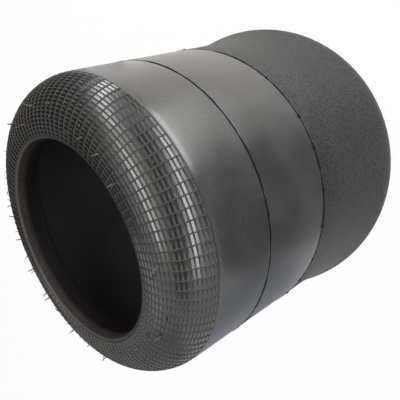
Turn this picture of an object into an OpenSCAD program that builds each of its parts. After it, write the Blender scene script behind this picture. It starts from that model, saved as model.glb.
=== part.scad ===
// Rolling-lobe air spring bellows, the bare rubber sleeve.
// The axis is Z, the wide end stands on z = 0 and the narrow end is at the top.
// Every piece is a ring, so each one is a flat section in radius and height that is turned about Z.

/* [Sleeve] */
// Height over both shoulders
sleeve_h = 240; // [230:1:252]
// How far the narrow upper shoulder stands out past the bore of its bead
upper_overhang = 33.5; // [31:0.5:37]
// How far the wide lower shoulder stands out past the bore of its bead
lower_overhang = 40; // [38:0.5:43]
// Radius of the round section of the upper shoulder
upper_round_r = 27; // [26:0.5:30]
// Radius of the round section of the lower shoulder
lower_round_r = 27; // [26:0.5:30]
// How far the lower shoulder stands out past the plain taper of the sleeve
flare_out = 6.4; // [4:0.2:9]
// Radius of the hollow curve between the taper and the flare
flare_r = 380; // [300:10:460]
// Width of the flat ring that the wide end stands on
base_flat_w = 9; // [6:0.5:11]

/* [Layers] */
// Thickness of the outer rubber cover
cover_t = 2.4; // [2:0.1:3]
// Thickness of each of the two cord plies
ply_t = 1.15; // [0.9:0.05:1.4]
// Thickness of the airtight inner liner
liner_t = 1.55; // [1.2:0.05:2]
// Cement line between neighbouring layers
bond = 0.05; // [0.04:0.01:0.08]

/* [Beads] */
// Bore of the upper bead, where the piston's neck is pressed in
upper_bore_d = 120; // [114:1:128]
// Bore of the lower bead, where the bead plate is pressed in
lower_bore_d = 196; // [188:1:204]
// Diameter of the steel bead wire
wire_d = 2.1; // [1.8:0.05:2.2]
// Spacing of the bead wire's turns, centre to centre
wire_pitch = 2.4; // [2.35:0.01:2.45]
// Rubber between the outermost turns and the tape round them
insulation_t = 0.7; // [0.6:0.05:0.8]
// Thickness of the tape wound round the bead core
wrap_t = 0.75; // [0.5:0.05:1]
// Thickness of the chafer strip under the bead seat
chafer_t = 0.75; // [0.5:0.05:1]
// Least thickness of the rubber seat inside the bead
seat_t = 1.6; // [1.2:0.1:2.2]
// Chamfer at the mouth of the bead seat
lip_chamfer = 1; // [0.6:0.1:1.3]
// Length of the turned-up ply past the bead
turn_up_l = 8; // [6:0.5:9]
// Slope of the bead filler's underside against the bead's own line
tail_angle = 35; // [30:1:40]

/* [Shoulder grid] */
// Number of pockets from the outer edge of the grid to the lip
pocket_rows = 19; // [16:1:22]
// Width of the ring ribs between the pockets
ring_rib_w = 0.5; // [0.4:0.05:0.8]
// Depth of the pockets
pocket_depth = 0.35; // [0.25:0.05:0.6]
// Number of cross ribs round the shoulder
cross_ribs = 108; // [96:1:120]
// Width of a cross rib
cross_rib_w = 0.5; // [0.4:0.05:0.8]
// How far the cross ribs stand proud of the ring ribs
cross_rib_proud = 0.3; // [0.2:0.05:0.5]
// How far the grid's outer edge lies below the top of the shoulder
grid_drop = 17.8; // [14:0.1:20]
// Bare rubber left between the grid and the bead seat
grid_lip_gap = 2; // [1.5:0.1:4]

/* [Mould lines] */
// How far the upper parting line lies below the top of the shoulder
upper_parting_drop = 54.5; // [47:0.5:67]
// How far the lower parting line lies below the top of the shoulder
lower_parting_drop = 110.1; // [97:0.1:117]
// Width of a parting groove
parting_w = 0.9; // [0.6:0.1:1.2]
// Depth of a parting groove
parting_depth = 0.5; // [0.3:0.05:0.8]

/* [Hidden] */
$fn = 96;
UPPER = 0;
LOWER = 1;
// Longer than any section, for shapes that only cut
reach = 400;
// Longer than any bead, for cuts inside a bead's own section
bead_reach = 40;
rubber_black = [0.13, 0.13, 0.13];
rubber_grey = [0.24, 0.23, 0.22];
cord_tan = [0.52, 0.44, 0.32];
steel = [0.66, 0.62, 0.54];

// Depth of each layer's outer and inner face below the outside of the sleeve
outer_ply_d = cover_t + bond;
inner_ply_d = outer_ply_d + ply_t + bond;
liner_d = inner_ply_d + ply_t + bond;
wall_t = liner_d + liner_t;

// How much thinner a ply's turned-up end is on each face, where it runs into the rest of the ply
tuck = 0.02;

// Radius of each layer round the middle of the bead
core_r = wire_pitch + wire_d / 2 + insulation_t;
wrap_r0 = core_r + bond;
wrap_r1 = wrap_r0 + wrap_t;
inner_turn_r0 = wrap_r1 + bond;
inner_turn_r1 = inner_turn_r0 + ply_t;
outer_turn_r0 = inner_turn_r1 + bond;
outer_turn_r1 = outer_turn_r0 + ply_t;
chafer_r0 = outer_turn_r1 + bond;
chafer_r1 = chafer_r0 + chafer_t;
seat_r0 = chafer_r1 + bond;
liner_turn_r = chafer_r0 + liner_t;

// Middle of each shoulder's round section, as radius and height
bore_r = [upper_bore_d / 2, lower_bore_d / 2];
round_r = [upper_round_r, lower_round_r];
upper_mid = [bore_r[UPPER] + upper_overhang - upper_round_r, sleeve_h - upper_round_r];
lower_mid = [
  bore_r[LOWER] + lower_overhang - lower_round_r,
  sqrt(pow(lower_round_r, 2) - pow(base_flat_w / 2, 2))
];
mid = [upper_mid, lower_mid];

// The plain taper is the common tangent of the upper round and a lower round made smaller by the flare
taper_r = lower_round_r - flare_out;
mid_gap = lower_mid - upper_mid;
taper = atan2(mid_gap[0], -mid_gap[1]) - asin((upper_round_r - taper_r) / norm(mid_gap));
across = [cos(taper), sin(taper)];
along = [sin(taper), -cos(taper)];
taper_d = across * upper_mid + upper_round_r;

// The hollow curve touches the taper and the lower shoulder
flare_run = along * lower_mid - sqrt(pow(flare_r + lower_round_r, 2) - pow(flare_r + taper_r, 2));
flare_mid = (taper_d + flare_r) * across + flare_run * along;
flare_dir = (flare_mid - lower_mid) / norm(flare_mid - lower_mid);

// Middle of each bead: the turned ply touches the wall's ply on the line from the shoulder's middle
bead_x = [for (end = [UPPER, LOWER]) bore_r[end] + seat_t + seat_r0];
bead_off = [for (end = [UPPER, LOWER]) round_r[end] - outer_ply_d - outer_turn_r1];
lean = [for (end = [UPPER, LOWER]) asin((bead_x[end] - mid[end][0]) / bead_off[end])];
bead_z = [
  mid[UPPER][1] + bead_off[UPPER] * cos(lean[UPPER]),
  mid[LOWER][1] - bead_off[LOWER] * cos(lean[LOWER])
];

// The grid runs over the upper round, in degrees up from the horizontal
grid_from = asin(1 - grid_drop / upper_round_r);
lip_angle = acos((bore_r[UPPER] + seat_t + bond - upper_mid[0]) / upper_round_r);
grid_to = lip_angle - grid_lip_gap / upper_round_r * 180 / PI;
row_angle = (grid_to - grid_from) / pocket_rows;
ring_rib_angle = ring_rib_w / upper_round_r * 180 / PI;

function polar(angle, radius = 1) = [radius * cos(angle), radius * sin(angle)];
function taper_radius(height) = (taper_d - height * across[1]) / across[0];

// What a shoulder's round section leaves of the room beyond it, which runs from corner to corner
module beyond_shoulder(end, depth, corners) {
  difference() {
    polygon(concat([mid[end]], corners));
    translate(mid[end]) circle(round_r[end] - depth);
  }
}

// Everything inside the sleeve's surface, taken a depth below it
module inside(depth) {
  difference() {
    polygon([
      [0, -reach],
      [0, 2 * reach],
      (taper_d - depth) * across - reach * along,
      (taper_d - depth) * across + flare_run * along,
      flare_mid,
      [flare_mid[0], -reach]
    ]);
    translate(flare_mid) circle(flare_r + depth);
    beyond_shoulder(
      UPPER,
      depth,
      [upper_mid + reach * across, [reach, 3 * reach], [-reach, 3 * reach], [-reach, upper_mid[1]]]
    );
    beyond_shoulder(
      LOWER,
      depth,
      [flare_mid, [3 * reach, -2 * reach], [-reach, -2 * reach], [-reach, lower_mid[1]]]
    );
  }
}

// The open side of the section, left of a line from mouth to mouth; each end gives its own corners
module open_side(upper_corners, lower_corners) {
  polygon(concat(
    [[-reach, upper_mid[1] + reach]],
    upper_corners,
    [upper_mid, lower_mid],
    lower_corners,
    [[-reach, lower_mid[1] - reach]]
  ));
}

// The open side, left of the lines from the shoulders' middles through the beads
module bead_side() {
  open_side(
    [upper_mid + reach * [sin(lean[UPPER]), cos(lean[UPPER])]],
    [lower_mid + reach * [sin(lean[LOWER]), -cos(lean[LOWER])]]
  );
}

// A bead's own section, drawn with the mouth upwards and the bore to the left
module at_bead(end) {
  translate([bead_x[end], bead_z[end]]) mirror([0, end]) children();
}

// The same section turned so that its Y axis points away from the shoulder's middle
module at_turned_bead(end) {
  at_bead(end) rotate(-lean[end]) children();
}

// The shoulder's round surface at a depth, seen from the bead
module shoulder_disc(end, depth) {
  rotate(-lean[end]) translate([0, -bead_off[end]]) circle(round_r[end] - depth);
}

// A disc round the bead, with the straight tail that runs out along the wall
module tailed_disc(r) {
  circle(r);
  rotate(tail_angle) translate([0, -r]) square([bead_reach, r]);
}

// The end of a ply: a quarter turn round the bead, then straight out between the filler and the liner
module ply_turn_up(r0, r1) {
  rotate(tail_angle) difference() {
    translate([-r1, -r1]) square([r1 + turn_up_l, r1]);
    difference() {
      translate([-2 * r1, -2 * r1]) square(2 * r1);
      circle(r1);
    }
    circle(r0);
    translate([0, -r0]) square([bead_reach, bead_reach]);
  }
}

// Everything inside a ply's face, which follows the sleeve's surface and then turns round the beads
module inside_ply(depth, r) {
  difference() {
    inside(depth);
    difference() {
      bead_side();
      for (end = [UPPER, LOWER]) at_turned_bead(end) circle(r);
    }
  }
}

// A cord ply runs from bead to bead inside the wall, round each bead and up the other side
module cord_ply(depth, r0, r1) {
  rotate_extrude() difference() {
    inside_ply(depth, r1);
    inside_ply(depth + ply_t, r0);
  }
  for (end = [UPPER, LOWER]) rotate_extrude() at_turned_bead(end) ply_turn_up(r0 + tuck, r1 - tuck);
}

// The cover ends against the rubber seats, on the bore's side of the beads
module seat_side() {
  edge_x = [for (end = [UPPER, LOWER]) bead_x[end] - seat_r0];
  open_side(
    [[edge_x[UPPER], upper_mid[1] + reach], [edge_x[UPPER], upper_mid[1]]],
    [[edge_x[LOWER], lower_mid[1]], [edge_x[LOWER], lower_mid[1] - reach]]
  );
}

// One pocket of the shoulder grid, between two ring ribs
module pocket(row) {
  from = grid_from + row * row_angle + ring_rib_angle / 2;
  to = grid_from + (row + 1) * row_angle - ring_rib_angle / 2;
  translate(upper_mid) intersection() {
    difference() {
      circle(upper_round_r + pocket_depth);
      circle(upper_round_r - pocket_depth);
    }
    polygon([[0, 0], polar(from, reach), polar(to, reach)]);
  }
}

module parting_groove(height) {
  translate([taper_radius(height), height]) rotate(taper) polygon([
    [-parting_depth, 0],
    [parting_depth, parting_w],
    [parting_depth, -parting_w]
  ]);
}

module outer_cover() {
  color(rubber_black) rotate_extrude() difference() {
    inside(0);
    inside(cover_t);
    seat_side();
    for (row = [0 : pocket_rows - 1]) pocket(row);
    parting_groove(sleeve_h - upper_parting_drop);
    parting_groove(sleeve_h - lower_parting_drop);
    translate([0, -reach]) square(reach);
  }
}

// A cross rib is a bent strip that lies over all the ring ribs, from the edge of the grid to the lip
module cross_rib() {
  translate([0, cross_rib_w / 2, 0]) rotate([90, 0, 0]) linear_extrude(cross_rib_w) translate(upper_mid)
    intersection() {
      difference() {
        circle(upper_round_r + cross_rib_proud);
        circle(upper_round_r + bond);
      }
      polygon([[0, 0], polar(grid_from, reach), polar(grid_to, reach)]);
    }
}

module shoulder_cross_ribs() {
  color(rubber_black)
    for (rib = [0 : cross_ribs - 1]) rotate([0, 0, rib * 360 / cross_ribs]) cross_rib();
}

module outer_cord_ply() {
  color(cord_tan) cord_ply(outer_ply_d, outer_turn_r0, outer_turn_r1);
}

module inner_cord_ply() {
  color(cord_tan) cord_ply(inner_ply_d, inner_turn_r0, inner_turn_r1);
}

// Everything inside a liner's face: the sleeve's own inside without the beads and their tails
module inside_liner(depth, r) {
  difference() {
    inside(depth);
    for (end = [UPPER, LOWER]) at_turned_bead(end) tailed_disc(r);
  }
}

// The liner ends under the beads, at the toes of the rubber seats
module toe_side() {
  bead = [for (end = [UPPER, LOWER]) [bead_x[end], bead_z[end]]];
  open_side(
    [bead[UPPER] + [0, bead_reach], bead[UPPER], bead[UPPER] - liner_turn_r * [1, 1]],
    [bead[LOWER] - liner_turn_r * [1, -1], bead[LOWER], bead[LOWER] - [0, bead_reach]]
  );
}

// The liner covers the wall, the filler and the underside of the beads
module inner_liner() {
  color(rubber_black) rotate_extrude() difference() {
    inside_liner(liner_d, chafer_r0);
    inside_liner(wall_t, liner_turn_r);
    toe_side();
  }
}

// The turns of the bead wire: one in the middle and six round it
module wire_turns(r) {
  circle(r);
  for (side = [0 : 5]) translate(wire_pitch * polar(60 * side)) circle(r);
}

module bead_wires(end) {
  color(steel) rotate_extrude() at_turned_bead(end) wire_turns(wire_d / 2);
}

module bead_insulation(end) {
  color(rubber_black) rotate_extrude() at_turned_bead(end) difference() {
    circle(core_r);
    wire_turns(wire_d / 2 + bond);
  }
}

module bead_wrap(end) {
  color(cord_tan) rotate_extrude() at_turned_bead(end) difference() {
    circle(wrap_r1);
    circle(wrap_r0);
  }
}

// The filler is the wedge between the wall's inner ply and the turned-up plies
module bead_filler(end) {
  color(rubber_black) rotate_extrude() at_bead(end) difference() {
    intersection() {
      shoulder_disc(end, liner_d);
      rotate(-lean[end]) polygon([
        [0, 0],
        polar(tail_angle - 90, outer_turn_r1),
        polar(tail_angle - 90, outer_turn_r1) + polar(tail_angle, bead_reach),
        [bead_reach, bead_reach],
        [0, bead_reach]
      ]);
    }
    circle(inner_turn_r0);
    rotate(tail_angle - lean[end]) translate([-bead_reach, -bead_reach])
      square([bead_reach + turn_up_l + bond, bead_reach - wrap_r1]);
  }
}

// The chafer strip wraps the bead from the cover to the toe, under the rubber seat
module bead_chafer(end) {
  color(cord_tan) rotate_extrude() at_bead(end) difference() {
    intersection() {
      circle(chafer_r1);
      shoulder_disc(end, outer_ply_d);
      translate([-bond, 0])
        polygon(bead_reach * [[0, 0], [-1, -1], [-1, 1], [1, 1]]);
    }
    circle(chafer_r0);
    rotate(-lean[end]) translate([0, -bead_reach]) square([bead_reach, 2 * bead_reach]);
  }
}

// The seat is the rubber that the metal neck presses on: a straight bore with a chamfered mouth and toe
module bead_seat(end) {
  bore_x = -(seat_r0 + seat_t);
  toe = liner_turn_r * sqrt(1 / 2);
  mouth_x = bore_x + bead_off[end] * sin(lean[end]);
  mouth_y = sqrt(pow(round_r[end], 2) - pow(mouth_x, 2)) - bead_off[end] * cos(lean[end]);
  color(rubber_grey) rotate_extrude() at_bead(end) difference() {
    intersection() {
      shoulder_disc(end, 0);
      polygon([
        [bore_x, mouth_y - lip_chamfer],
        [bore_x, -2 * toe - bore_x],
        [-toe, -toe],
        [0, 0],
        [0, mouth_y - lip_chamfer - bore_x]
      ]);
    }
    circle(seat_r0);
    difference() {
      translate([-seat_r0 - bond, 0]) square(bead_reach);
      shoulder_disc(end, outer_ply_d);
    }
    rotate(-lean[end]) translate([0, -bead_reach]) square([bead_reach, 2 * bead_reach]);
  }
}

outer_cover();
shoulder_cross_ribs();
outer_cord_ply();
inner_cord_ply();
inner_liner();
bead_wires(UPPER);  // upper_bead_wires
bead_insulation(UPPER);  // upper_bead_insulation
bead_wrap(UPPER);  // upper_bead_wrap
bead_filler(UPPER);  // upper_bead_filler
bead_chafer(UPPER);  // upper_bead_chafer
bead_seat(UPPER);  // upper_bead_seat
bead_wires(LOWER);  // lower_bead_wires
bead_insulation(LOWER);  // lower_bead_insulation
bead_wrap(LOWER);  // lower_bead_wrap
bead_filler(LOWER);  // lower_bead_filler
bead_chafer(LOWER);  // lower_bead_chafer
bead_seat(LOWER);  // lower_bead_seat
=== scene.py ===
# %% [markdown]
# An air spring bellows: a rubber sleeve with a wire bead at each end, as used under trucks.
# The CAD model gives the frame: every piece below goes where that frame says, in metres, with
# the axis on Z. The sleeve stands on its wide end here, and the camera is rolled, because the
# photograph shows it lying down.

# %% Load the CAD frame
import math
import random

import bmesh
import bpy
from mathutils import Matrix, Vector


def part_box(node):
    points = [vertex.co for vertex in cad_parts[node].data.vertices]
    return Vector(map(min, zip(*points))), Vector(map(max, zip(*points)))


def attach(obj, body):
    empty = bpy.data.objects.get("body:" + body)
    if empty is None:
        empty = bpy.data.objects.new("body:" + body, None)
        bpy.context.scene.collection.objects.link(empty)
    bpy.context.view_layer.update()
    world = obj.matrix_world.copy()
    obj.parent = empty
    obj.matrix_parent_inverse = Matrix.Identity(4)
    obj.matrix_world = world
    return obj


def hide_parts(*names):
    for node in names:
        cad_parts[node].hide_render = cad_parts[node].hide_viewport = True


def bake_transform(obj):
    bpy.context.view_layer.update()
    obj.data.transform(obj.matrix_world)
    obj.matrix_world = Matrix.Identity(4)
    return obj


RANDOM_SEED = 7
MM = 0.001
FULL_TURN = 2 * math.pi

bpy.context.scene.view_settings.view_transform = "Standard"
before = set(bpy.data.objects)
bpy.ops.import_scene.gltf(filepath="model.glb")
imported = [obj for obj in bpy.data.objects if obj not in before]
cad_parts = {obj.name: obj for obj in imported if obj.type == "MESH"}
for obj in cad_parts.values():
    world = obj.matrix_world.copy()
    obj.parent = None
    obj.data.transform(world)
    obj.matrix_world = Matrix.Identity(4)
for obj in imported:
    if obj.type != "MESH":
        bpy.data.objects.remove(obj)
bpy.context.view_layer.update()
random.seed(RANDOM_SEED)

# %% [markdown]
# All sizes come from the CAD cover's own box and from the radii that shape its section.
# The section is two round shoulders, a plain taper between them, and a hollow curve where
# the taper flares out.

# %% Sizes of the sleeve
cover_low, cover_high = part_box("outer_cover")
SLEEVE_HEIGHT = round(cover_high[2], 3)
LOWER_RADIUS = (cover_high[0] - cover_low[0]) / 2
UPPER_RADIUS = 93.5 * MM
UPPER_ROUND = 27 * MM
LOWER_ROUND = 27 * MM
FLARE_OUT = 6.4 * MM
FLARE_ROUND = 380 * MM
BASE_FLAT = 9 * MM
COVER_THICKNESS = 2.4 * MM
PARTING_HEIGHTS = (SLEEVE_HEIGHT - 54.5 * MM, SLEEVE_HEIGHT - 110.1 * MM)
GRID_EDGE_HEIGHT = SLEEVE_HEIGHT - 17.8 * MM
GRID_ROWS = 19
CROSS_RIBS = 108
SEAT_THICKNESS = 1.65 * MM
UPPER_BORE = 60 * MM
LOWER_BORE = 98 * MM

upper_mid = Vector((UPPER_RADIUS - UPPER_ROUND, SLEEVE_HEIGHT - UPPER_ROUND))
lower_mid = Vector((LOWER_RADIUS - LOWER_ROUND,
                    math.sqrt(LOWER_ROUND ** 2 - (BASE_FLAT / 2) ** 2)))
print("shoulder middles", upper_mid, lower_mid)

# %% [markdown]
# The taper is the line that touches the upper round and a slightly smaller lower round.
# The hollow curve then touches that line and the lower shoulder itself.
# With these touching points, the whole section is arcs and straight lines.

# %% Where the arcs and lines of the section meet
mid_gap = lower_mid - upper_mid
taper_tilt = (math.atan2(mid_gap.x, -mid_gap.y)
              - math.asin((UPPER_ROUND - LOWER_ROUND + FLARE_OUT) / mid_gap.length))
across = Vector((math.cos(taper_tilt), math.sin(taper_tilt)))
along = Vector((math.sin(taper_tilt), -math.cos(taper_tilt)))
taper_offset = across.dot(upper_mid) + UPPER_ROUND
flare_reach = FLARE_ROUND + LOWER_ROUND
flare_run = along.dot(lower_mid) - math.sqrt(flare_reach ** 2 - (flare_reach - FLARE_OUT) ** 2)
flare_mid = (taper_offset + FLARE_ROUND) * across + flare_run * along
flare_start = flare_mid - FLARE_ROUND * across
flare_end = lower_mid + LOWER_ROUND * (flare_mid - lower_mid).normalized()
print("taper tilt in degrees", math.degrees(taper_tilt), "flare", flare_start, flare_end)

# %% Helpers that draw the section
def angle_of(point, middle):
    """Direction of a section point seen from an arc's middle, in radians above the horizontal."""
    offset = point - middle
    return math.atan2(offset.y, offset.x)


def arc(middle, radius, first, last, steps):
    """Points on an arc of the section, both ends included."""
    angles = [first + (last - first) * step / steps for step in range(steps + 1)]
    return [middle + radius * Vector((math.cos(angle), math.sin(angle))) for angle in angles]


def straight(first, last, steps):
    """Points on a straight stretch of the section, both ends included."""
    return [first.lerp(last, step / steps) for step in range(steps + 1)]


# %% [markdown]
# The camera comes early, so that every later piece can be judged in the photograph's own view.
# It was found by fitting a round profile to the outline: it is close to the sleeve, with a wide
# lens, which is why the near lip looks large and the far end small. The roll lays the sleeve on
# its side. Its place is measured from the axis at the height of the upper parting line.

# %% Camera
CAMERA_DISTANCE = 208.5 * MM
CAMERA_ELEVATION = 0.637
CAMERA_ROLL = -2.013
CAMERA_TARGET = Vector((0, -9.2, 118.5)) * MM
CAMERA_LENS_PIXELS = 284.1
PHOTO_WIDTH = 400
FILM_WIDTH = 36
NEAREST_SEEN = 10 * MM

camera_data = bpy.data.cameras.new("photo_camera")
camera_data.sensor_width = FILM_WIDTH
camera_data.lens = camera_data.sensor_width * CAMERA_LENS_PIXELS / PHOTO_WIDTH
camera_data.clip_start = NEAREST_SEEN
camera = bpy.data.objects.new("photo_camera", camera_data)
bpy.context.collection.objects.link(camera)
camera_place = CAMERA_DISTANCE * Vector((math.cos(CAMERA_ELEVATION), 0,
                                         math.sin(CAMERA_ELEVATION)))
camera_place.z += PARTING_HEIGHTS[0]
forward = (CAMERA_TARGET - camera_place).normalized()
level_right = forward.cross(Vector((0, 0, 1))).normalized()
level_up = level_right.cross(forward)
camera_right = math.cos(CAMERA_ROLL) * level_right + math.sin(CAMERA_ROLL) * level_up
camera_up = math.cos(CAMERA_ROLL) * level_up - math.sin(CAMERA_ROLL) * level_right
turn = Matrix((camera_right, camera_up, -forward)).transposed()
camera.matrix_world = Matrix.Translation(camera_place) @ turn.to_4x4()
bpy.context.scene.camera = camera
print("camera at", camera_place, "lens", camera_data.lens)

# %% [markdown]
# Blender's operators act on whatever is selected, so each step first clears the selection.
# Faces and edges are then picked by their place, which also works without a window.

# %% Helpers for selecting and for edit mode
def select_only(piece):
    bpy.ops.object.select_all(action="DESELECT")
    piece.select_set(True)
    bpy.context.view_layer.objects.active = piece


def edit(piece, mode="VERT"):
    select_only(piece)
    bpy.ops.object.mode_set(mode="EDIT")
    bpy.ops.mesh.select_mode(type=mode)


def leave_edit():
    bpy.ops.object.mode_set(mode="OBJECT")


def pick(piece, kind, wanted):
    """Select the faces or edges of a piece that pass a test, and count them."""
    bpy.ops.mesh.select_mode(type=kind)
    bpy.ops.mesh.select_all(action="DESELECT")
    mesh = bmesh.from_edit_mesh(piece.data)
    parts = mesh.faces if kind == "FACE" else mesh.edges
    for part in parts:
        if wanted(part):
            part.select_set(True)
    bmesh.update_edit_mesh(piece.data)
    return sum(part.select for part in parts)


def radius_of(point):
    return math.hypot(point.x, point.y)


# %% [markdown]
# A moulded sleeve is round, so it is drawn like a pot on a wheel: a circle is the first ring,
# and each next one is extruded from the last and scaled to its own radius. When the path
# returns to its start, the first and last rings are merged and the wall is a closed solid.

# %% Helpers that turn a section into a closed ring
MERGE_GAP = 0.01 * MM


def turned(name, path, columns):
    first = path[0]
    bpy.ops.object.select_all(action="DESELECT")
    bpy.ops.mesh.primitive_circle_add(vertices=columns, radius=first.x, location=(0, 0, first.y))
    piece = bpy.context.object
    piece.name = name
    bpy.ops.object.transform_apply(location=True, rotation=True, scale=True)
    edit(piece, "EDGE")
    bpy.ops.mesh.select_all(action="SELECT")
    last = first
    for point in path[1:] + [first]:
        rise = (0, 0, point.y - last.y)
        bpy.ops.mesh.extrude_edges_move(TRANSFORM_OT_translate={"value": rise})
        grow = point.x / last.x
        bpy.ops.transform.resize(value=(grow, grow, 1), center_override=(0, 0, point.y))
        last = point
    bpy.ops.mesh.select_all(action="SELECT")
    bpy.ops.mesh.remove_doubles(threshold=MERGE_GAP)
    bpy.ops.mesh.normals_make_consistent(inside=False)
    leave_edit()
    return piece


def finish_smooth(piece):
    """Shade a finished piece smooth and print its size."""
    select_only(piece)
    bpy.ops.object.shade_smooth()
    triangles = sum(len(face.vertices) - 2 for face in piece.data.polygons)
    print(piece.name, "has", triangles, "triangles")


# %% [markdown]
# The cover's outside goes from the lip over the ribbed shoulder, down the taper and out to the
# wide shoulder. Each mould parting line is a fine groove: two rings close to each of its edges
# keep them crisp, as a cut in real rubber is.

# %% Angles where the path changes from one form to the next
SMOOTH_LIP = 0.6 * MM
grid_first = math.asin((GRID_EDGE_HEIGHT - upper_mid.y) / UPPER_ROUND)
lip_angle = math.acos((UPPER_BORE + SEAT_THICKNESS - upper_mid.x) / UPPER_ROUND)
grid_last = lip_angle - SMOOTH_LIP / UPPER_ROUND
flare_first = angle_of(flare_start, flare_mid) % FULL_TURN
flare_last = angle_of(flare_end, flare_mid) % FULL_TURN
shoulder_first = angle_of(flare_end, lower_mid)
flat_outer = -math.acos(BASE_FLAT / 2 / LOWER_ROUND)
lower_lip_radius = LOWER_BORE + SEAT_THICKNESS
lower_lip_angle = -math.acos((lower_lip_radius - lower_mid.x) / LOWER_ROUND)
print("the grid runs over", math.degrees(grid_last - grid_first), "degrees of the shoulder")

# %% Helpers for the taper and its grooves
PARTING_HALF = 0.45 * MM
PARTING_DEPTH = 0.8 * MM
GROOVE_PROFILE = ((2.2, 0), (1.15, 0), (0.8, 0.5), (0, 1), (-0.8, 0.5), (-1.15, 0), (-2.2, 0))


def taper_point(height, depth=0.0):
    """A point of the taper at a height, or a little under its surface."""
    on_line = Vector(((taper_offset - height * across.y) / across.x, height))
    return on_line - depth * across


def groove(height):
    """The rings of one parting groove, each by its place in half widths and its share of depth."""
    return [taper_point(height + PARTING_HALF * place, PARTING_DEPTH * depth)
            for place, depth in GROOVE_PROFILE]


# %% Path of the cover's outside
lip = arc(upper_mid, UPPER_ROUND, lip_angle, grid_last, steps=1)
grid = arc(upper_mid, UPPER_ROUND, grid_last, grid_first, steps=GRID_ROWS)
below_grid = arc(upper_mid, UPPER_ROUND, grid_first, taper_tilt, steps=3)
upper_groove = groove(PARTING_HEIGHTS[0])
lower_groove = groove(PARTING_HEIGHTS[1])
band_1 = straight(below_grid[-1], upper_groove[0], steps=6)
band_2 = straight(upper_groove[-1], lower_groove[0], steps=9)
band_3 = straight(lower_groove[-1], flare_start, steps=5)
flare = arc(flare_mid, FLARE_ROUND, flare_first, flare_last, steps=9)
round_bottom = arc(lower_mid, LOWER_ROUND, shoulder_first, flat_outer, steps=16)
round_inner = arc(lower_mid, LOWER_ROUND, -math.pi - flat_outer, lower_lip_angle, steps=3)
outside = (lip[:-1] + grid + below_grid[1:-1] + band_1[:-1] + upper_groove + band_2[1:-1]
           + lower_groove + band_3[1:-1] + flare[:-1] + round_bottom + round_inner)
print("rings outside", len(outside))

# %% [markdown]
# The inside is the same section, one cover's thickness deeper, so that the piece has real rubber
# between its two faces. It runs back up, and its last ring meets the first ring at the lip.

# %% Path of the cover's inside, and the turned cover
inner_upper = UPPER_ROUND - COVER_THICKNESS
inner_lower = LOWER_ROUND - COVER_THICKNESS
inside_lip_angle = math.acos((UPPER_BORE + SEAT_THICKNESS - upper_mid.x) / inner_upper)
inside_low_angle = -math.acos((lower_lip_radius - lower_mid.x) / inner_lower)
taper_low = flare_start - COVER_THICKNESS * across
taper_high = upper_mid + inner_upper * across
flare_inner = FLARE_ROUND + COVER_THICKNESS
inside = (arc(lower_mid, inner_lower, inside_low_angle, shoulder_first, steps=14)
          + arc(flare_mid, flare_inner, flare_last, flare_first, steps=6)[1:]
          + straight(taper_low, taper_high, steps=12)[1:]
          + arc(upper_mid, inner_upper, taper_tilt, inside_lip_angle, steps=10)[1:])
cover = turned("sleeve_cover", outside + inside, CROSS_RIBS)
print("rings of the cover", len(outside) + len(inside))

# %% [markdown]
# The ribbed shoulder is a grid of shallow pockets between raised ribs, which let air out of the
# mould. The turned mesh already has a line where each rib goes, so the ribs can be made from
# those lines. To pick them, a place is told by its angle on the shoulder's round and by its
# distance from the nearest ribs.

# %% Where a face lies on the shoulder grid
RIB_WIDTH = 0.5 * MM
GRID_SKIN = 1 * MM
GRID_SLACK = 0.002
row_angle = (grid_last - grid_first) / GRID_ROWS
column_angle = FULL_TURN / CROSS_RIBS


def latitude(point):
    """Angle of a point on the upper shoulder's round, above the horizontal."""
    return math.atan2(point.z - upper_mid.y, radius_of(point) - upper_mid.x)


def on_grid(point):
    """True where a point lies on the outer face of the ribbed shoulder."""
    reach = math.hypot(radius_of(point) - upper_mid.x, point.z - upper_mid.y)
    in_rows = grid_first - GRID_SLACK < latitude(point) < grid_last + GRID_SLACK
    return reach > UPPER_ROUND - GRID_SKIN and in_rows


def rib_distance(point):
    """Distance of a point from the nearest ring rib and from the nearest cross rib."""
    row = (latitude(point) - grid_first) / row_angle
    column = math.atan2(point.y, point.x) / column_angle
    return (abs(row - round(row)) * row_angle * UPPER_ROUND,
            abs(column - round(column)) * column_angle * radius_of(point))


print("a row is", row_angle * UPPER_ROUND, "m high")

# %% [markdown]
# One moulded piece, several finishes: polished steel shaped the first band, duller steel the
# second, and a sand-blasted half mould the flare. So each region's faces get a material slot
# of their own, picked by height while the mesh is still a plain turned shape.

# %% Give each region of the cover its material slot
COVER_FINISHES = ("rib", "pocket", "polished", "dull", "groove", "sandy", "inside", "cross rib")
RIB, POCKET, POLISHED, DULL, GROOVE, SANDY, INSIDE, CROSS_RIB = range(len(COVER_FINISHES))
GROOVE_REACH = 1.2 * PARTING_HALF
for _ in COVER_FINISHES:
    cover.data.materials.append(None)


def use_slot(piece, slot):
    """Give the selected faces a material slot."""
    piece.active_material_index = slot
    bpy.ops.object.material_slot_assign()


def region_of(face):
    middle = face.calc_center_median()
    outward = face.normal.x * middle.x + face.normal.y * middle.y
    if middle.z > GRID_EDGE_HEIGHT:
        return RIB
    if outward < 0 and middle.z > LOWER_ROUND:
        return INSIDE
    if min(abs(middle.z - height) for height in PARTING_HEIGHTS) < GROOVE_REACH:
        return GROOVE
    if middle.z > PARTING_HEIGHTS[0]:
        return POLISHED
    return DULL if middle.z > PARTING_HEIGHTS[1] else SANDY


edit(cover, "FACE")
for slot, finish in enumerate(COVER_FINISHES):
    found = pick(cover, "FACE", lambda face: region_of(face) == slot)
    use_slot(cover, slot)
    print(finish, "faces", found)

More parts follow.
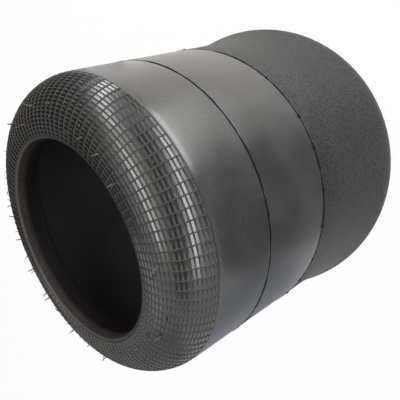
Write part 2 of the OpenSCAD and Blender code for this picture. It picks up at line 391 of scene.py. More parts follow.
# %% [markdown]
# Bevelling the grid's lines widens them into the flat tops of the ribs, with pockets between.
# Each pocket is then inset and pushed in. Only its floor is glossy: the slope round it keeps the
# ribs' duller finish, because a bright edge on every pocket would break the ribs' even lines.
# A second, flat inset keeps the smooth shading off the floor. The cross ribs come last,
# because on the real sleeve they stand a little above the ring ribs.

# %% Widen the grid's lines into ribs
lines = pick(cover, "EDGE", lambda edge: all(on_grid(vert.co) for vert in edge.verts))
bpy.ops.mesh.bevel(offset=RIB_WIDTH / 2, segments=1, affect="EDGES")
print("lines of the grid", lines)

# %% Push the pockets in
POCKET_SLOPE = 0.09 * MM
POCKET_DEPTH = 0.08 * MM
FLOOR_EDGE = 0.1 * MM


def is_pocket(face):
    middle = face.calc_center_median()
    ring_distance, cross_distance = rib_distance(middle)
    return on_grid(middle) and ring_distance > RIB_WIDTH / 2 and cross_distance > RIB_WIDTH / 2


pockets = pick(cover, "FACE", is_pocket)
bpy.ops.mesh.inset(thickness=POCKET_SLOPE, depth=-POCKET_DEPTH, use_individual=True)
use_slot(cover, POCKET)
bpy.ops.mesh.inset(thickness=FLOOR_EDGE, use_individual=True)
print("pockets", pockets)

# %% Raise the cross ribs
CROSS_RIB_RISE = 0.18 * MM


def is_cross_rib(face):
    middle = face.calc_center_median()
    return on_grid(middle) and rib_distance(middle)[1] < RIB_WIDTH / 4


tops = pick(cover, "FACE", is_cross_rib)
use_slot(cover, CROSS_RIB)
bpy.ops.mesh.extrude_region_shrink_fatten(TRANSFORM_OT_shrink_fatten={"value": CROSS_RIB_RISE})
leave_edit()
finish_smooth(cover)
print("cross rib faces", tops)

# %% [markdown]
# The two ends of the sleeve are clamped to metal, and the rubber between them bends. Here the
# CAD cover is hidden and the turned cover's place is baked into its mesh; the heights of the
# bending stretch are set and printed.

# %% Hide the CAD cover and bake the turned one in place
BEND_START = (0, 0, 45 * MM)
BEND_END = (0, 0, 208 * MM)
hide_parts("outer_cover", "shoulder_cross_ribs")
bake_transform(cover)
print("the cover bends between", BEND_START[2], "and", BEND_END[2])

# %% [markdown]
# The plies and the liner are right in the CAD model, but their long faces can't bend. A merged
# copy of each is cut into short rings between the bend heights, so that it has edges to bend at.

# %% Bendable copies of the inner layers
RING_CUTS = 19
CAD_MERGE_GAP = 0.002 * MM
SHARP_EDGE = math.radians(30)


def bendable(node, name):
    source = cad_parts[node]
    piece = source.copy()
    piece.data = source.data.copy()
    piece.name = name
    for key in list(piece.keys()):
        if key.startswith("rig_"):
            del piece[key]
    piece.parent = None
    piece.matrix_world = Matrix.Identity(4)
    bpy.context.collection.objects.link(piece)
    edit(piece)
    bpy.ops.mesh.select_all(action="SELECT")
    bpy.ops.mesh.remove_doubles(threshold=CAD_MERGE_GAP)
    for cut in range(1, RING_CUTS):
        height = BEND_START[2] + (BEND_END[2] - BEND_START[2]) * cut / RING_CUTS
        bpy.ops.mesh.select_all(action="SELECT")
        bpy.ops.mesh.bisect(plane_co=(0, 0, height), plane_no=(0, 0, 1))
    leave_edit()
    select_only(piece)
    bpy.ops.object.shade_smooth_by_angle(angle=SHARP_EDGE)
    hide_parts(node)
    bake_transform(piece)
    print(name, "has", len(piece.data.polygons), "faces")
    return piece


outer_ply = bendable("outer_cord_ply", "outer_ply")
inner_ply = bendable("inner_cord_ply", "inner_ply")
liner = bendable("inner_liner", "air_liner")

# %% [markdown]
# Where two halves of a mould meet, a little rubber squeezes out and leaves a thin fin of flash.
# It is trimmed by hand, so its height wanders, it is missing in places, and small knots of
# rubber stay on it. The fin is turned like the cover, then its tip is moved in by a few waves
# of different length.

# %% Turn the flash of both parting lines
FLASH_RISES = (0.3 * MM, 0.4 * MM)
FLASH_HALF = 0.22 * MM
FLASH_ROOT = 0.3 * MM
FLASH_OFFSET = 1.3
FLASH_COLUMNS = 540
FLASH_WAVES = ((7, 0.3), (17, 0.3), (41, 0.25), (97, 0.15))
MEAN_TRIM = 0.5
DEEPEST_TRIM = 1.4


def flash_ring(number, height, rise):
    """A fin on one parting line, with its tip above the surface where the flash is left."""
    edge = height - PARTING_HALF * FLASH_OFFSET
    path = [taper_point(edge - FLASH_HALF, FLASH_ROOT), taper_point(edge, -rise),
            taper_point(edge + FLASH_HALF, FLASH_ROOT)]
    ring = turned(f"parting_flash_{number}", path, FLASH_COLUMNS)
    phases = [random.uniform(0, FULL_TURN) for _ in FLASH_WAVES]
    edit(ring)
    mesh = bmesh.from_edit_mesh(ring.data)
    tips = [vert for vert in mesh.verts if radius_of(vert.co) > taper_point(vert.co.z).x]
    for tip in tips:
        angle = math.atan2(tip.co.y, tip.co.x)
        left = sum(part * math.sin(count * angle + phase)
                   for (count, part), phase in zip(FLASH_WAVES, phases))
        inward = rise * min(max(MEAN_TRIM - left, 0), DEEPEST_TRIM)
        tip.co.x -= inward * math.cos(angle)
        tip.co.y -= inward * math.sin(angle)
    bmesh.update_edit_mesh(ring.data)
    leave_edit()
    print(ring.name, "tips", len(tips))
    return ring


flash_rings = [flash_ring(number, height, rise)
               for number, height, rise in zip((1, 2), PARTING_HEIGHTS, FLASH_RISES)]

# %% [markdown]
# The knots are one small lump, pulled out of round and copied along the lines at uneven steps.
# The lower line has more and larger ones, as in the photograph.

# %% Model one knot of rubber
KNOT_SIZE = 0.55 * MM
KNOT_STRETCH = (0.7, 1.5, 0.8)
KNOT_LUMPS = 0.12 * MM
KNOT_SEED = 4
bpy.ops.object.select_all(action="DESELECT")
bpy.ops.mesh.primitive_ico_sphere_add(subdivisions=2, radius=KNOT_SIZE, location=(0, 0, 0))
knot = bpy.context.object
edit(knot)
bpy.ops.mesh.select_all(action="SELECT")
bpy.ops.transform.resize(value=KNOT_STRETCH, center_override=(0, 0, 0))
bpy.ops.transform.vertex_random(offset=KNOT_LUMPS, seed=KNOT_SEED)
leave_edit()
print("knot faces", len(knot.data.polygons))

# %% Helpers that copy, place and join pieces
def copy_to(piece, place, turned_by, size):
    """A copy with its own mesh, turned, sized and placed in that mesh."""
    made = piece.copy()
    made.data = piece.data.copy()
    bpy.context.collection.objects.link(made)
    made.data.transform(Matrix.Translation(place) @ turned_by.to_4x4() @ Matrix.Scale(size, 4))
    return made


def outward_frame(azimuth, rise):
    """Axes at a place on the sleeve: X points out of the surface and Y runs round it."""
    return Matrix.Rotation(azimuth, 3, "Z") @ Matrix.Rotation(-rise, 3, "Y")


def ring_place(azimuth, radius, height):
    """A place at an angle round the axis."""
    return Vector((radius * math.cos(azimuth), radius * math.sin(azimuth), height))


def join(pieces, name):
    """Join pieces into the first one."""
    bpy.ops.object.select_all(action="DESELECT")
    for piece in pieces:
        piece.select_set(True)
    bpy.context.view_layer.objects.active = pieces[0]
    bpy.ops.object.join()
    pieces[0].name = name
    return pieces[0]


# %% Copy the knots along both lines
KNOT_COUNTS = (9, 30)
LARGEST_KNOTS = (1.9, 3)
SMALLEST_KNOT = 0.7
KNOT_WANDER = 0.4
knots = []
for height, count, largest in zip(PARTING_HEIGHTS, KNOT_COUNTS, LARGEST_KNOTS):
    ring_point = taper_point(height - PARTING_HALF * FLASH_OFFSET)
    for number in range(count):
        azimuth = FULL_TURN * (number + random.uniform(-KNOT_WANDER, KNOT_WANDER)) / count
        place = ring_place(azimuth, ring_point.x, ring_point.y)
        size = random.uniform(SMALLEST_KNOT, largest)
        knots.append(copy_to(knot, place, outward_frame(azimuth, taper_tilt), size))
bpy.data.objects.remove(knot)
flash = join(flash_rings + knots, "parting_flash")
finish_smooth(flash)
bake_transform(flash)

# %% [markdown]
# Air leaves the mould through drilled vents, and rubber that follows it stays on as whiskers.
# One whisker is a thin cone, cut into rings and bent; the others are copies, each with its own
# size and lean.

# %% Model one whisker
WHISKER_LENGTH = 3.8 * MM
WHISKER_RADIUS = 0.48 * MM
WHISKER_TIP = 0.45
WHISKER_SIDES = 7
WHISKER_RINGS = 6
WHISKER_BEND = math.radians(50)
bpy.ops.object.select_all(action="DESELECT")
bpy.ops.mesh.primitive_cone_add(
    vertices=WHISKER_SIDES, radius1=WHISKER_RADIUS, radius2=WHISKER_TIP * WHISKER_RADIUS,
    depth=WHISKER_LENGTH, location=(0, 0, WHISKER_LENGTH / 2))
whisker = bpy.context.object
bpy.ops.object.transform_apply(location=True, rotation=True, scale=True)
edit(whisker)
for cut in range(1, WHISKER_RINGS):
    height = WHISKER_LENGTH * cut / WHISKER_RINGS
    bpy.ops.mesh.select_all(action="SELECT")
    bpy.ops.mesh.bisect(plane_co=(0, 0, height), plane_no=(0, 0, 1))
leave_edit()
bend = whisker.modifiers.new("bend", "SIMPLE_DEFORM")
bend.deform_method = "BEND"
bend.deform_axis = "X"
bend.angle = WHISKER_BEND
bpy.ops.object.modifier_apply(modifier=bend.name)
print("whisker faces", len(whisker.data.polygons))

# %% [markdown]
# The vents stand in three rows round the shoulder. A whisker's root lies under the surface, so
# that it grows out of the rubber. Whiskers bend and tear, so each leans and ends as chance has it.

# %% Copy the whiskers round the shoulder
WHISKER_ROWS = ((33, 84), (20, 70), (7, 45))
WHISKER_SIZES = (0.45, 0.7, 0.85, 1, 1, 1.2)
WHISKER_LEAN = 0.6
WHISKER_WANDER = 0.35
ROW_WANDER = 4
ROOT_DEPTH = 0.4 * MM
reach = UPPER_ROUND - ROOT_DEPTH
whiskers = []
for count, row_latitude in WHISKER_ROWS:
    for number in range(count):
        azimuth = FULL_TURN * (number + random.uniform(-WHISKER_WANDER, WHISKER_WANDER)) / count
        rise = math.radians(row_latitude + random.uniform(-ROW_WANDER, ROW_WANDER))
        place = ring_place(azimuth, upper_mid.x + reach * math.cos(rise),
                           upper_mid.y + reach * math.sin(rise))
        upright = outward_frame(azimuth, rise) @ Matrix.Rotation(math.pi / 2, 3, "Y")
        lean = (Matrix.Rotation(random.uniform(-WHISKER_LEAN, WHISKER_LEAN), 3, "X")
                @ Matrix.Rotation(random.uniform(-WHISKER_LEAN, WHISKER_LEAN), 3, "Y")
                @ Matrix.Rotation(random.uniform(0, FULL_TURN), 3, "Z"))
        whiskers.append(copy_to(whisker, place, upright @ lean, random.choice(WHISKER_SIZES)))
bpy.data.objects.remove(whisker)
vent_whiskers = join(whiskers, "vent_whiskers")
finish_smooth(vent_whiskers)
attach(vent_whiskers, "upper_end")

# %% [markdown]
# Materials come last. Each effect that several finishes share is a node group: grain of the
# mould, dusty patches, scuffs, fine turned lines, and cords. A group only puts out numbers that
# change over the surface; the shader itself stays in each material, with its constant values on
# its own sockets.

# %% Helpers for node trees
def wire_up(tree, made, wires):
    """Give a node's inputs their values, or the outputs that feed them."""
    for socket, value in wires.items():
        if isinstance(value, bpy.types.NodeSocket):
            tree.links.new(value, made.inputs[socket])
        else:
            made.inputs[socket].default_value = value


def node(tree, kind, wires=None, **settings):
    """Add a shader node; wires gives an input a value or the output that feeds it."""
    made = tree.nodes.new("ShaderNode" + kind)
    for name, value in settings.items():
        setattr(made, name, value)
    wire_up(tree, made, wires or {})
    return made


def maths(tree, operation, *values):
    return node(tree, "Math", dict(enumerate(values)), operation=operation).outputs[0]


def new_group(name, inputs, outputs):
    """An empty node group with a place and named numbers as inputs, and named outputs."""
    tree = bpy.data.node_groups.new(name, "ShaderNodeTree")
    add = tree.interface.new_socket
    add(name="Place", in_out="INPUT", socket_type="NodeSocketVector")
    for label, value in inputs.items():
        add(name=label, in_out="INPUT", socket_type="NodeSocketFloat").default_value = value
    for label in outputs:
        add(name=label, in_out="OUTPUT", socket_type="NodeSocketFloat")
    given = tree.nodes.new("NodeGroupInput").outputs
    result = tree.nodes.new("NodeGroupOutput").inputs
    print("group", name, "gives", outputs)
    return tree, given, result


# %% [markdown]
# Grain is what a blasted or worn mould leaves: a fine noise with small pits in it. It changes the
# shade a little round 1, and its height also goes to each material's bump.

# %% Group for the grain of the mould
PIT_DEPTH = -0.5
GRAIN_MIDDLE = 0.25
GRAIN_SWING = 4.0
grain_group, given, result = new_group(
    "mould_grain", {"Grain Size": 0.001, "Contrast": 0.2}, ("Shade", "Height"))
per_metre = maths(grain_group, "DIVIDE", 1.0, given["Grain Size"])
fine = node(grain_group, "TexNoise",
            {"Vector": given["Place"], "Scale": per_metre, "Detail": 3, "Roughness": 0.65})
specks = node(grain_group, "TexVoronoi", {"Vector": given["Place"], "Scale": per_metre})
height = maths(grain_group, "MULTIPLY_ADD", specks.outputs["Distance"], PIT_DEPTH,
               fine.outputs[0])
swing = maths(grain_group, "MULTIPLY",
              maths(grain_group, "SUBTRACT", height, GRAIN_MIDDLE), given["Contrast"])
shade = maths(grain_group, "MULTIPLY_ADD", swing, GRAIN_SWING, 1.0)
grain_group.links.new(shade, result["Shade"])
grain_group.links.new(height, result["Height"])

# %% [markdown]
# Talc and dust stay on a moulded sleeve in soft patches. A wide noise with clear middles and
# soft edges gives both a shade and a mask that also dulls the gloss.

# %% Group for dusty patches
PATCH_EDGES = (0.36, 0.64)
patch_group, given, result = new_group(
    "dusty_patches", {"Patch Size": 0.03, "Amount": 0.2}, ("Shade", "Mask"))
per_metre = maths(patch_group, "DIVIDE", 1.0, given["Patch Size"])
cloud = node(patch_group, "TexNoise",
             {"Vector": given["Place"], "Scale": per_metre, "Detail": 4, "Distortion": 0.5})
mask = node(patch_group, "MapRange",
            {0: cloud.outputs[0], 1: PATCH_EDGES[0], 2: PATCH_EDGES[1]},
            interpolation_type="SMOOTHSTEP")
swing = maths(patch_group, "SUBTRACT", mask.outputs[0], 0.5)
shade = maths(patch_group, "MULTIPLY_ADD", swing, given["Amount"], 1.0)
patch_group.links.new(shade, result["Shade"])
patch_group.links.new(mask.outputs[0], result["Mask"])

# %% [markdown]
# A scuff is a thin, broken, wandering line. The places where a smooth noise passes one value are
# such lines, and a second noise keeps only some stretches of them.

# %% Group for scuffs
KEEP_FINER = 2.3
KEEP_ABOVE = 0.56
scuff_group, given, result = new_group(
    "scuffs", {"Spacing": 0.03, "Width": 0.01, "Amount": 0.5}, ("Mask",))
per_metre = maths(scuff_group, "DIVIDE", 1.0, given["Spacing"])
wander = node(scuff_group, "TexNoise",
              {"Vector": given["Place"], "Scale": per_metre, "Detail": 1.5, "Distortion": 1.2})
off_line = maths(scuff_group, "ABSOLUTE", maths(scuff_group, "SUBTRACT", wander.outputs[0], 0.5))
thin = maths(scuff_group, "LESS_THAN", off_line, given["Width"])
keep_per_metre = maths(scuff_group, "MULTIPLY", per_metre, KEEP_FINER)
keep = node(scuff_group, "TexNoise", {"Vector": given["Place"], "Scale": keep_per_metre})
kept = maths(scuff_group, "GREATER_THAN", keep.outputs[0], KEEP_ABOVE)
scuffed = maths(scuff_group, "MULTIPLY", maths(scuff_group, "MULTIPLY", thin, kept),
                given["Amount"])
scuff_group.links.new(scuffed, result["Mask"])

# %% [markdown]
# Two more patterns follow the round of the sleeve: fine rings left by a turned mould, and the
# cords of a ply. The rings follow the radius, and the cords the angle round the axis.

# %% Group for turned rings
WOBBLE_PER_METRE = 60.0
ring_group, given, result = new_group(
    "turned_rings", {"Spacing": 0.002, "Amount": 0.1}, ("Shade", "Height", "Radius"))
parts = node(ring_group, "SeparateXYZ", {0: given["Place"]}).outputs
flat = node(ring_group, "CombineXYZ", {"X": parts["X"], "Y": parts["Y"]})
radius = node(ring_group, "VectorMath", {0: flat.outputs[0]}, operation="LENGTH").outputs["Value"]
run = maths(ring_group, "DIVIDE", maths(ring_group, "SUBTRACT", radius, parts["Z"]),
            given["Spacing"])
wobble = node(ring_group, "TexNoise", {"Vector": given["Place"], "Scale": WOBBLE_PER_METRE})
wave = maths(ring_group, "SINE",
             maths(ring_group, "MULTIPLY_ADD", run, FULL_TURN, wobble.outputs[0]))
shade = maths(ring_group, "MULTIPLY_ADD", wave, given["Amount"], 1.0)
ring_group.links.new(shade, result["Shade"])
ring_group.links.new(wave, result["Height"])
ring_group.links.new(radius, result["Radius"])

# %% Group for cords
CORD_SHADES = (0.3, 0.75)
cord_group, given, result = new_group(
    "cord_lay", {"Cords Round": 480.0, "Lean Per Metre": 2000.0}, ("Shade", "Height"))
parts = node(cord_group, "SeparateXYZ", {0: given["Place"]}).outputs
angle = maths(cord_group, "ARCTAN2", parts["Y"], parts["X"])
lean = maths(cord_group, "MULTIPLY", parts["Z"], given["Lean Per Metre"])
wave = maths(cord_group, "SINE",
             maths(cord_group, "MULTIPLY_ADD", angle, given["Cords Round"], lean))
shade = maths(cord_group, "MULTIPLY_ADD", wave, *CORD_SHADES)
cord_group.links.new(shade, result["Shade"])
cord_group.links.new(wave, result["Height"])

# %% [markdown]
# One function mixes the shared effects into a rubber. It starts from a plain colour, varies it
# with grain and patches, and can lay three things over it by a mask: scuffs, a painted highlight
# along the rim of a bead's seat, and painted shade that comes in between two heights. That last
# one is for the mouth: its rubber is painted from brown at the lip to nearly black deeper in,
# where the seat ends and the liner begins.

# %% Helpers that place a group and paint over a skin
def use_group(tree, group, **wires):
    """Place a group in a material; an input's name is given with _ for each space."""
    made = tree.nodes.new("ShaderNodeGroup")
    made.node_tree = group
    wire_up(tree, made, {label.replace("_", " "): value for label, value in wires.items()})
    return made.outputs


def painted(tree, mask, skin, colour):
    """Lay a colour over the skin where a mask says so."""
    return node(tree, "Mix", {0: mask, 6: skin, 7: (*colour, 1)}, data_type="RGBA").outputs[2]


# %% Function that makes a finish
GLOSS_LEAST = 0.94
GLOSS_SWING = 0.12
SCUFF_GREY = (0.05, 0.05, 0.048)


def finish_material(name, colour, roughness, specular=0.5, metallic=0.0, grain=(0.0008, 0.15),
                    bump=0.02, patches=(0.03, 0.25), scuffs=None, scuff_colour=SCUFF_GREY,
                    rings=None, cords=None, rim=None, shade_depths=None):
    """A procedural finish: colour and roughness varied by grain and patches, with a fine bump.

    grain is its size and contrast, and patches their size and amount. scuffs is their spacing,
    width and amount, rings their spacing, amount and relief, and cords the number round the
    sleeve, their lean per metre and their relief. rim is the radius, half width and colour of a
    painted highlight line. depths is the height where painted shade starts, the one where it is
    full, and its colour. Lengths are in metres, but bump and the two reliefs are in millimetres.
    """
    material = bpy.data.materials.new(name)
    material.use_nodes = True
    tree = material.node_tree
    surface = tree.nodes["Principled BSDF"]
    surface.inputs["Specular IOR Level"].default_value = specular
    surface.inputs["Metallic"].default_value = metallic
    place = node(tree, "TexCoord").outputs["Object"]
    grained = use_group(tree, grain_group, Place=place, Grain_Size=grain[0], Contrast=grain[1])
    patched = use_group(tree, patch_group, Place=place, Patch_Size=patches[0], Amount=patches[1])
    shade = maths(tree, "MULTIPLY", grained["Shade"], patched["Shade"])
    relief = maths(tree, "MULTIPLY", grained["Height"], bump * MM)
    if rings:
        ringed = use_group(tree, ring_group, Place=place, Spacing=rings[0], Amount=rings[1])
        shade = maths(tree, "MULTIPLY", shade, ringed["Shade"])
        relief = maths(tree, "MULTIPLY_ADD", ringed["Height"], rings[2] * MM, relief)
    if cords:
        corded = use_group(tree, cord_group, Place=place, Cords_Round=cords[0],
                           Lean_Per_Metre=cords[1])
        shade = maths(tree, "MULTIPLY", shade, corded["Shade"])
        relief = maths(tree, "MULTIPLY_ADD", corded["Height"], cords[2] * MM, relief)
    skin = node(tree, "Mix", {0: 1.0, 6: (*colour, 1), 7: shade},
                data_type="RGBA", blend_type="MULTIPLY").outputs[2]
    if scuffs:
        worn = use_group(tree, scuff_group, Place=place, Spacing=scuffs[0], Width=scuffs[1],
                         Amount=scuffs[2])
        skin = painted(tree, worn["Mask"], skin, scuff_colour)
    # Painted highlight: a thin pale ring at one radius, along the seat's rim.
    if rim:
        on_rim_highlight = maths(tree, "COMPARE", ringed["Radius"], rim[0], rim[1])
        skin = painted(tree, on_rim_highlight, skin, rim[2])
    # Painted shade: the colour darkens between two heights, deeper into the mouth.
    if shade_depths:
        height = node(tree, "SeparateXYZ", {0: place}).outputs["Z"]
        depth = node(tree, "MapRange", {0: height, 1: shade_depths[0], 2: shade_depths[1]}).outputs[0]
        skin = painted(tree, depth, skin, shade_depths[2])
    gloss = maths(tree, "MULTIPLY_ADD", patched["Mask"], GLOSS_SWING * roughness,
                  GLOSS_LEAST * roughness)
    fine_relief = node(tree, "Bump", {"Height": relief, "Strength": 1.0, "Distance": 1.0})
    tree.links.new(skin, surface.inputs["Base Color"])
    tree.links.new(gloss, surface.inputs["Roughness"])
    tree.links.new(fine_relief.outputs[0], surface.inputs["Normal"])
    return material


# %% Helper that gives a piece its materials
def give(piece, *materials):
    """Put materials into a piece's slots, and keep which face has which slot."""
    slots = piece.data.materials
    for place, material in enumerate(materials):
        if place < len(slots):
            slots[place] = material
        else:
            slots.append(material)


# %% [markdown]
# All of the cover is one black rubber, but each part of the mould leaves it another gloss. The
# pockets' floors are nearly a mirror and are painted darker, as painted shade in the hollows. The
# ribs round them are dull, and the cross ribs are painted a little lighter, as painted light on
# their proud tops. The polished band is smoother than the dull one, and the flare is sandy.

# %% Finishes of the cover
RIB_GRAIN = (0.0006, 0.2)
rib_rubber = finish_material(
    "rib_rubber", (0.031, 0.0294, 0.0271), roughness=0.5, specular=0.22, grain=RIB_GRAIN)
# The cross ribs are painted a little lighter than the ring ribs: painted light on their proud
# tops.
lit_cross_rib_rubber = finish_material(
    "lit_cross_rib_rubber", (0.036, 0.034, 0.031), roughness=0.5, specular=0.25, grain=RIB_GRAIN)
whisker_rubber = finish_material(
    "whisker_rubber", (0.06, 0.057, 0.052), roughness=0.5, specular=0.3, grain=RIB_GRAIN)
# The pocket floors are painted darker than the ribs: painted shade in the hollows.
shaded_pocket_rubber = finish_material(
    "shaded_pocket_rubber", (0.011, 0.0106, 0.01), roughness=0.23, specular=0.8, grain=(0.0006, 0.1),
    bump=0.001)
polished_rubber = finish_material(
    "polished_rubber", (0.03, 0.0296, 0.029), roughness=0.26, specular=0.7, bump=0.006,
    patches=(0.035, 0.35), scuffs=(0.035, 0.006, 0.35), scuff_colour=(0.02, 0.02, 0.02))
dull_rubber = finish_material(
    "dull_rubber", (0.029, 0.0286, 0.028), roughness=0.32, specular=0.65, bump=0.01,
    patches=(0.028, 0.35), scuffs=(0.028, 0.008, 0.4), scuff_colour=(0.05, 0.05, 0.049))
# The grooves are painted nearly black: painted shade inside the parting lines.
shaded_groove_rubber = finish_material(
    "shaded_groove_rubber", (0.008, 0.008, 0.008), roughness=0.6, specular=0.2)
sandy_rubber = finish_material(
    "sandy_rubber", (0.0225, 0.0221, 0.0214), roughness=0.5, specular=0.24, grain=(0.0009, 1.5),
    bump=0.2, patches=(0.05, 0.4))
inside_rubber = finish_material("inside_rubber", (0.03, 0.03, 0.03), roughness=0.6, specular=0.3)
# The flash and its knots are painted nearly black too: painted shade of the parting lines.
shaded_flash_rubber = finish_material("shaded_flash_rubber", (0.01, 0.01, 0.0098), roughness=0.6, specular=0.1)
give(cover, rib_rubber, shaded_pocket_rubber, polished_rubber, dull_rubber, shaded_groove_rubber, sandy_rubber,
     inside_rubber, lit_cross_rib_rubber)
give(flash, shaded_flash_rubber)
give(vent_whiskers, whisker_rubber)
print("finishes of the cover", [material.name for material in cover.data.materials])

# %% [markdown]
# Inside the wall are brown rubberised nylon cords, laid at opposite leans in the two plies.
# The liner under them is plain black rubber, with painted shade that darkens it just below the
# seat.

# %% Finishes of the layers
PLY_BROWN = (0.36, 0.27, 0.16)
# Painted shade: the liner darkens towards this colour between these heights below the seat.
LINER_SHADE_COLOUR = (0.004, 0.0037, 0.0036)
LINER_SHADE_HEIGHTS = (SLEEVE_HEIGHT - 26 * MM, SLEEVE_HEIGHT - 18 * MM)
ply_out = finish_material(
    "ply_right_lean", PLY_BROWN, roughness=0.6, specular=0.3, cords=(480, 1600, 0.12))
ply_in = finish_material(
    "ply_left_lean", PLY_BROWN, roughness=0.6, specular=0.3, cords=(480, -1600, 0.12))
liner_rubber = finish_material(
    "liner_rubber", (0.014, 0.013, 0.0135), roughness=0.5, specular=0.15, grain=(0.0015, 0.3),
    rings=(0.004, 0.08, 0.01), shade_depths=(*LINER_SHADE_HEIGHTS, LINER_SHADE_COLOUR))
give(outer_ply, ply_out)
give(inner_ply, ply_in)
give(liner, liner_rubber)
print("finishes of the layers", ply_out.name, ply_in.name, liner_rubber.name)

# %% [markdown]
# The beads have bronze-coated steel wire, hard black filler and woven tape. Only a seat shows: it
# is ground brown-black rubber with fine turned rings, with a painted highlight line at its rim and
# painted shade that darkens it from the mouth inwards.

# %% Finishes of the beads
bead_steel = finish_material(
    "bronze_steel", (0.62, 0.47, 0.3), roughness=0.33, metallic=1.0, grain=(0.0004, 0.2),
    bump=0.004)
core_rubber = finish_material("core_rubber", (0.02, 0.02, 0.021), roughness=0.5, specular=0.4)
wrap_tape = finish_material(
    "wrap_tape", (0.3, 0.26, 0.2), roughness=0.75, specular=0.2, cords=(600, 2500, 0.08))
chafer_cloth = finish_material(
    "chafer_cloth", (0.22, 0.18, 0.13), roughness=0.7, specular=0.25, cords=(540, -2500, 0.1))
# The thin pale ring at the seat's rim is a painted highlight, and the darkening inwards is painted
# shade.
RIM_HIGHLIGHT_GREY = (0.06, 0.06, 0.054)
RIM_HIGHLIGHT_MIDDLE = 0.85 * MM
RIM_HIGHLIGHT_HALF_WIDTH = 0.35 * MM
SEAT_SHADE_COLOUR = (0.006, 0.0055, 0.005)
SEAT_SHADE_HEIGHTS = (4.5 * MM, 7.5 * MM)
seat_finishes = {
    end: finish_material(
        f"{end}_seat_rubber", (0.038, 0.032, 0.03), roughness=0.5, specular=0.15,
        grain=(0.0007, 0.4), rings=(0.0016, 0.15, 0.008),
        rim=(bore + RIM_HIGHLIGHT_MIDDLE, RIM_HIGHLIGHT_HALF_WIDTH, RIM_HIGHLIGHT_GREY),
        shade_depths=(mouth - SEAT_SHADE_HEIGHTS[0] * outward, mouth - SEAT_SHADE_HEIGHTS[1] * outward, SEAT_SHADE_COLOUR))
    for end, bore, mouth, outward in (("upper", UPPER_BORE, SLEEVE_HEIGHT, 1),
                                      ("lower", LOWER_BORE, 0, -1))}
bead_finishes = {"wires": bead_steel, "insulation": core_rubber, "wrap": wrap_tape,
                 "filler": core_rubber, "chafer": chafer_cloth}
for end, seat_rubber in seat_finishes.items():
    for part, material in (bead_finishes | {"seat": seat_rubber}).items():
        give(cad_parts[f"{end}_bead_{part}"], material)
for node_name, material in (("outer_cover", rib_rubber), ("shoulder_cross_ribs", lit_cross_rib_rubber),
                            ("outer_cord_ply", ply_out), ("inner_cord_ply", ply_in),
                            ("inner_liner", liner_rubber)):
    give(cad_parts[node_name], material)
print("materials", len(bpy.data.materials))

# %% [markdown]
# A plain pale floor and a white surround. Camera, glossy and transmission rays see plain white,
# and the others a calmer level that lights the object. The floor keeps some of its shadow.

# %% Helper for a white background
WHITE = (1, 1, 1, 1)


def white_background(tree, output, lit_shader, share):
    """Mix a lit shader with plain white, by share, for the rays that show the background."""
    rays = node(tree, "LightPath").outputs
    seen = maths(tree, "MAXIMUM", rays["Is Camera Ray"], rays["Is Transmission Ray"])
    seen = maths(tree, "MAXIMUM", seen, rays["Is Glossy Ray"])
    white = node(tree, "Emission", {"Color": WHITE})
    mix = node(tree, "MixShader", {0: maths(tree, "MULTIPLY", seen, share),
                                   1: lit_shader.outputs[0], 2: white.outputs[0]})
    tree.links.new(mix.outputs[0], tree.nodes[output].inputs["Surface"])


# %% Floor
FLOOR_SIZE = 12
FLOOR_GAP = 0.2 * MM
FLOOR_WHITE = 0.97
FLOOR_COLOUR = (0.8, 0.8, 0.8, 1)
FLOOR_ROUGHNESS = 0.9
bpy.ops.object.select_all(action="DESELECT")
bpy.ops.mesh.primitive_plane_add(size=FLOOR_SIZE, location=(0, 0, -FLOOR_GAP))
floor = bpy.context.object
floor.name = "studio_floor"
floor_material = bpy.data.materials.new("floor_white")
floor_material.use_nodes = True
floor_surface = floor_material.node_tree.nodes["Principled BSDF"]
floor_surface.inputs["Base Color"].default_value = FLOOR_COLOUR
floor_surface.inputs["Roughness"].default_value = FLOOR_ROUGHNESS
white_background(floor_material.node_tree, "Material Output", floor_surface, FLOOR_WHITE)
floor.data.materials.append(floor_material)
print("floor", FLOOR_SIZE, "m wide")

# %% Surround
SURROUND_LIGHT = 0.36
world = bpy.data.worlds.new("white_studio")
bpy.context.scene.world = world
world.use_nodes = True
surround = world.node_tree.nodes["Background"]
surround.inputs["Color"].default_value = WHITE
surround.inputs["Strength"].default_value = SURROUND_LIGHT
white_background(world.node_tree, "World Output", surround, 1.0)
print("surround light", SURROUND_LIGHT)

# %% [markdown]
# Glossy rubber shows its surroundings, so the lamps are placed by where the pockets mirror them:
# a tall softbox at the side, one overhead, one behind the camera, and a small low one. A wide
# faint one fills the back. Each is given by the bearing and height angle of its two ends, as
# seen from the shoulder, and by its width, power and distance.

# %% Lamps
SHOULDER_MIDDLE = Vector((0, 0, SLEEVE_HEIGHT - 20 * MM))
LAMPS = (("side_strip", (87, -20), (76, 45), 0.13, 3.6, 1.0),
         ("top_strip", (72, 40), (-105, 74), 0.15, 3.6, 1.0),
         ("camera_strip", (42, -4), (-54, 27), 0.13, 5.6, 1.0),
         ("low_panel", (14, -13), (54, -15), 0.13, 1.2, 0.6),
         ("back_fill", (175, 30), (225, 30), 0.8, 0.9, 1.2))


def seen_from_shoulder(bearing, height_angle, distance):
    """A place in a direction from the shoulder, given in degrees."""
    bearing, height_angle = math.radians(bearing), math.radians(height_angle)
    level = math.cos(height_angle)
    direction = Vector((level * math.cos(bearing), level * math.sin(bearing),
                        math.sin(height_angle)))
    return SHOULDER_MIDDLE + distance * direction


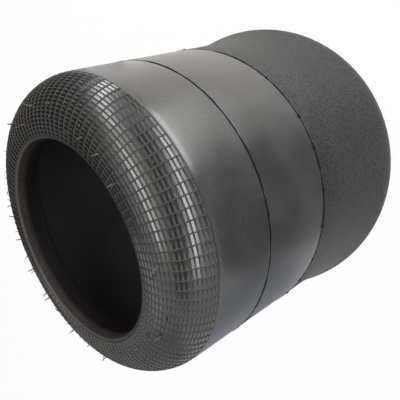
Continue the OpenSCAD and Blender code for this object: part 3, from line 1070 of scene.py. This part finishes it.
def panel_place(start, finish, distance):
    """The length of a flat panel that runs from one direction to another, and where it stands."""
    ends = [seen_from_shoulder(*direction, distance) for direction in (start, finish)]
    middle = (ends[0] + ends[1]) / 2
    along = (ends[1] - ends[0]).normalized()
    away = (middle - SHOULDER_MIDDLE).normalized()
    turn = Matrix((along.cross(away), along, away)).transposed().to_4x4()
    return (ends[1] - ends[0]).length, Matrix.Translation(middle) @ turn


for name, start, finish, width, power, distance in LAMPS:
    length, place = panel_place(start, finish, distance)
    lamp_data = bpy.data.lights.new(name, "AREA")
    lamp_data.shape = "RECTANGLE"
    lamp_data.size = width
    lamp_data.size_y = length
    lamp_data.energy = power
    lamp = bpy.data.objects.new(name, lamp_data)
    bpy.context.collection.objects.link(lamp)
    lamp.matrix_world = place
    lamp.visible_camera = False
    print("lamp", name, "length", round(length, 3), "power", power)

# %% [markdown]
# Cards shape what the glossy rubber mirrors, as a photographer's flags and reflectors do. Black
# ones stand between the strips and at the dark side, and keep the white room out. Grey ones
# stand at the low back, in front and behind the rim, and grey and white ones lie on the floor.
# A bright one widens the top strip's streak, and a small one lies over the white one.
# Only reflections see the cards, so they throw no shadow.

# %% Helpers for the cards
def card_material(name, colour):
    """A plain surface of one brightness, whatever lights it."""
    material = bpy.data.materials.new(name)
    material.use_nodes = True
    surface = material.node_tree.nodes["Principled BSDF"]
    for socket, value in (("Base Color", (0, 0, 0, 1)), ("Roughness", 1.0),
                          ("Specular IOR Level", 0.0), ("Emission Color", (*colour, 1)),
                          ("Emission Strength", 1.0)):
        surface.inputs[socket].default_value = value
    return material


def card(name, place, width, length, material):
    """A flat card that only reflections see."""
    bpy.ops.object.select_all(action="DESELECT")
    bpy.ops.mesh.primitive_plane_add(size=1)
    flag = bpy.context.object
    flag.name = name
    flag.matrix_world = place @ Matrix.Diagonal((width, length, 1, 1))
    bpy.ops.object.transform_apply(location=True, rotation=True, scale=True)
    flag.data.materials.append(material)
    flag.visible_camera = False
    flag.visible_shadow = False
    flag.visible_diffuse = False
    print("card", name, "width", width, "length", round(length, 3))


def on_floor(bearing, distance, height):
    """A place just above the floor, turned to face away from the sleeve."""
    bearing = math.radians(bearing)
    place = Vector((distance * math.cos(bearing), distance * math.sin(bearing), height))
    return Matrix.Translation(place) @ Matrix.Rotation(bearing, 4, "Z")


# %% Cards
black_card = card_material("black_card", (0.004, 0.004, 0.004))
dark_grey_card = card_material("dark_grey_card", (0.12, 0.12, 0.12))
cool_grey_card = card_material("cool_grey_card", (0.46, 0.49, 0.54))
white_card = card_material("white_card", (1.28, 1.25, 1.2))
bright_card = card_material("bright_card", (2.2, 2.17, 2.1))
STANDING_CARDS = (("middle_card", (50, 18), (-25, 50), 0.75, 0.3, black_card),
                  ("low_middle_card", (-24, 50), (-85, 42), 0.75, 0.3, black_card),
                  ("lower_gap_card", (67, -15), (67, 2), 0.75, 0.2, black_card),
                  ("dark_side_card", (139, -35), (139, 45), 0.75, 1.08, black_card),
                  ("far_side_card", (98, 34), (186, 34), 0.75, 0.4, black_card),
                  ("low_back_card", (-135, -12), (-135, 36), 0.75, 0.8, cool_grey_card),
                  ("front_card", (-4, -16), (-4, 1), 0.75, 0.5, dark_grey_card),
                  ("far_rim_card", (178, -10), (178, 24), 0.75, 0.5, dark_grey_card),
                  ("top_card", (64, 30), (-100, 70), 1.1, 0.4, bright_card))
for name, start, finish, distance, width, shade in STANDING_CARDS:
    length, place = panel_place(start, finish, distance)
    card(name, place, width, length, shade)

FLOOR_CARDS = (("front_floor_card", (-20, 0.4, 5 * MM), 0.44, 0.54, dark_grey_card),
               ("low_side_card", (-95, 0.42, 5 * MM), 0.44, 0.44, cool_grey_card),
               ("top_side_card", (68, 0.38, 5 * MM), 0.4, 0.62, white_card),
               ("bright_floor_card", (40, 0.46, 8 * MM), 0.22, 0.22, bright_card),
               ("back_side_card", (150, 0.48, 5 * MM), 0.5, 0.6, cool_grey_card),
               ("low_back_floor_card", (-142, 0.48, 5 * MM), 0.5, 0.34, cool_grey_card))
for name, lies, width, length, shade in FLOOR_CARDS:
    card(name, on_floor(*lies), width, length, shade)
